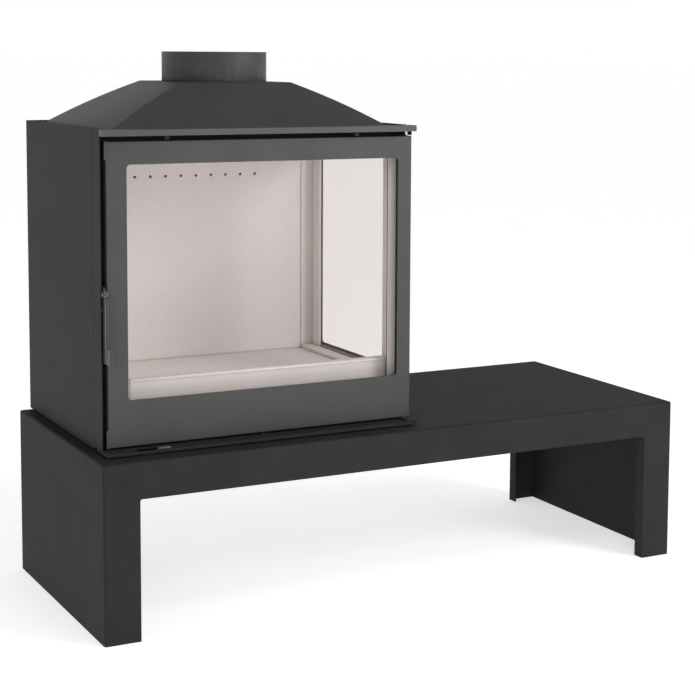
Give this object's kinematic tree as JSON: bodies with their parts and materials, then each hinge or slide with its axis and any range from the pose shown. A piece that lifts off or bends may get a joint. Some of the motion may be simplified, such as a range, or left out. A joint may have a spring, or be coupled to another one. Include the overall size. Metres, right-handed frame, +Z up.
{
  "type": "wood burning stove",
  "caption": "Free-standing steel wood burning stove with a glazed front door, a glazed right side, a curved smoke hood and a round flue collar, on a long sheet steel bench.",
  "frame": {"origin": "on the floor, at the middle of the bench's footprint", "axes": "+X to the right along the bench, +Y to the back, +Z up; the stove door faces -Y"},
  "size_m": [1.4, 0.59, 1.186],
  "materials": {
    "bench_paint": "matt heat-resistant anthracite paint on folded steel",
    "body_paint": "matt heat-resistant anthracite paint on welded steel",
    "door_paint": "matt heat-resistant anthracite paint, fine texture",
    "handle_steel": "satin anthracite paint worn bright at the edges",
    "slider_steel": "bare sheet steel, dull",
    "zinc_steel": "zinc-plated steel",
    "pin_steel": "ground steel",
    "bush_brass": "plain turned brass",
    "vermiculite": "pressed vermiculite board",
    "retainer_steel": "pale heat-resistant enamel on folded steel",
    "ceramic_glass": "clear ceramic glass with a faint amber tint",
    "glass_tape": "woven graphite-coated glass fibre tape",
    "seal_rope": "braided graphite-coated glass fibre rope"
  },
  "bodies": {
    "stove": {"bench_top": "bench_paint", "bench_left_side": "bench_paint", "bench_right_side": "bench_paint", "bench_stiffeners": "bench_paint", "left_side_panel": "body_paint", "back_panel": "body_paint", "base_plate": "body_paint", "top_plate": "body_paint", "top_lip": "body_paint", "lip_clips": "body_paint", "front_sill": "body_paint", "front_frame": "body_paint", "right_side_frame": "body_paint", "smoke_hood": "body_paint", "flue_collar": "body_paint", "door_rest": "body_paint", "hinge_block": "body_paint", "floor_plate": "body_paint", "baffle_rail": "body_paint", "slider_guide": "slider_steel", "rear_air_channel": "slider_steel", "bench_bolts": "zinc_steel", "weld_nuts": "zinc_steel", "side_glass_retainers": "zinc_steel", "side_glass_screws": "zinc_steel", "thrust_washer": "zinc_steel", "foot_pads": "zinc_steel", "hinge_pin_top": "pin_steel", "hinge_pin_bottom": "pin_steel", "catch_pin": "pin_steel", "left_lining": "vermiculite", "back_lining": "vermiculite", "right_corner_lining": "vermiculite", "right_sill_lining": "vermiculite", "floor_board_left": "vermiculite", "floor_board_middle": "vermiculite", "floor_board_right": "vermiculite", "baffle_plate": "vermiculite", "log_retainer": "retainer_steel", "front_post": "retainer_steel", "mouth_trim": "retainer_steel", "side_glass": "ceramic_glass", "side_glass_gasket": "glass_tape"},
    "door": {"door_frame": "door_paint", "door_rivets": "door_paint", "door_glass": "ceramic_glass", "door_glass_gasket": "glass_tape", "door_glass_clips": "zinc_steel", "door_clip_screws": "zinc_steel", "door_seal_rope": "seal_rope", "hinge_bush_top": "bush_brass", "hinge_bush_bottom": "bush_brass", "handle_pivot_screw": "pin_steel", "handle_spacer": "zinc_steel"},
    "handle": {"handle_lever": "handle_steel"},
    "air_control": {"air_slider": "slider_steel", "air_control_arm": "slider_steel"}
  },
  "joints": [
    {"name": "door_hinge", "type": "hinge", "parent": "stove", "child": "door", "pos_m": [0.0255, -0.2055, 0.7], "axis": [0, 0, 1], "range_deg": [0, 110]},
    {"name": "handle_pivot", "type": "hinge", "parent": "door", "child": "handle", "pos_m": [-0.6674, -0.209, 0.6985], "axis": [-1, 0, 0], "range_deg": [0, 45]},
    {"name": "air_slide", "type": "slide", "parent": "stove", "child": "air_control", "axis": [1, 0, 0], "range_m": [-0.038, 0]}
  ]
}
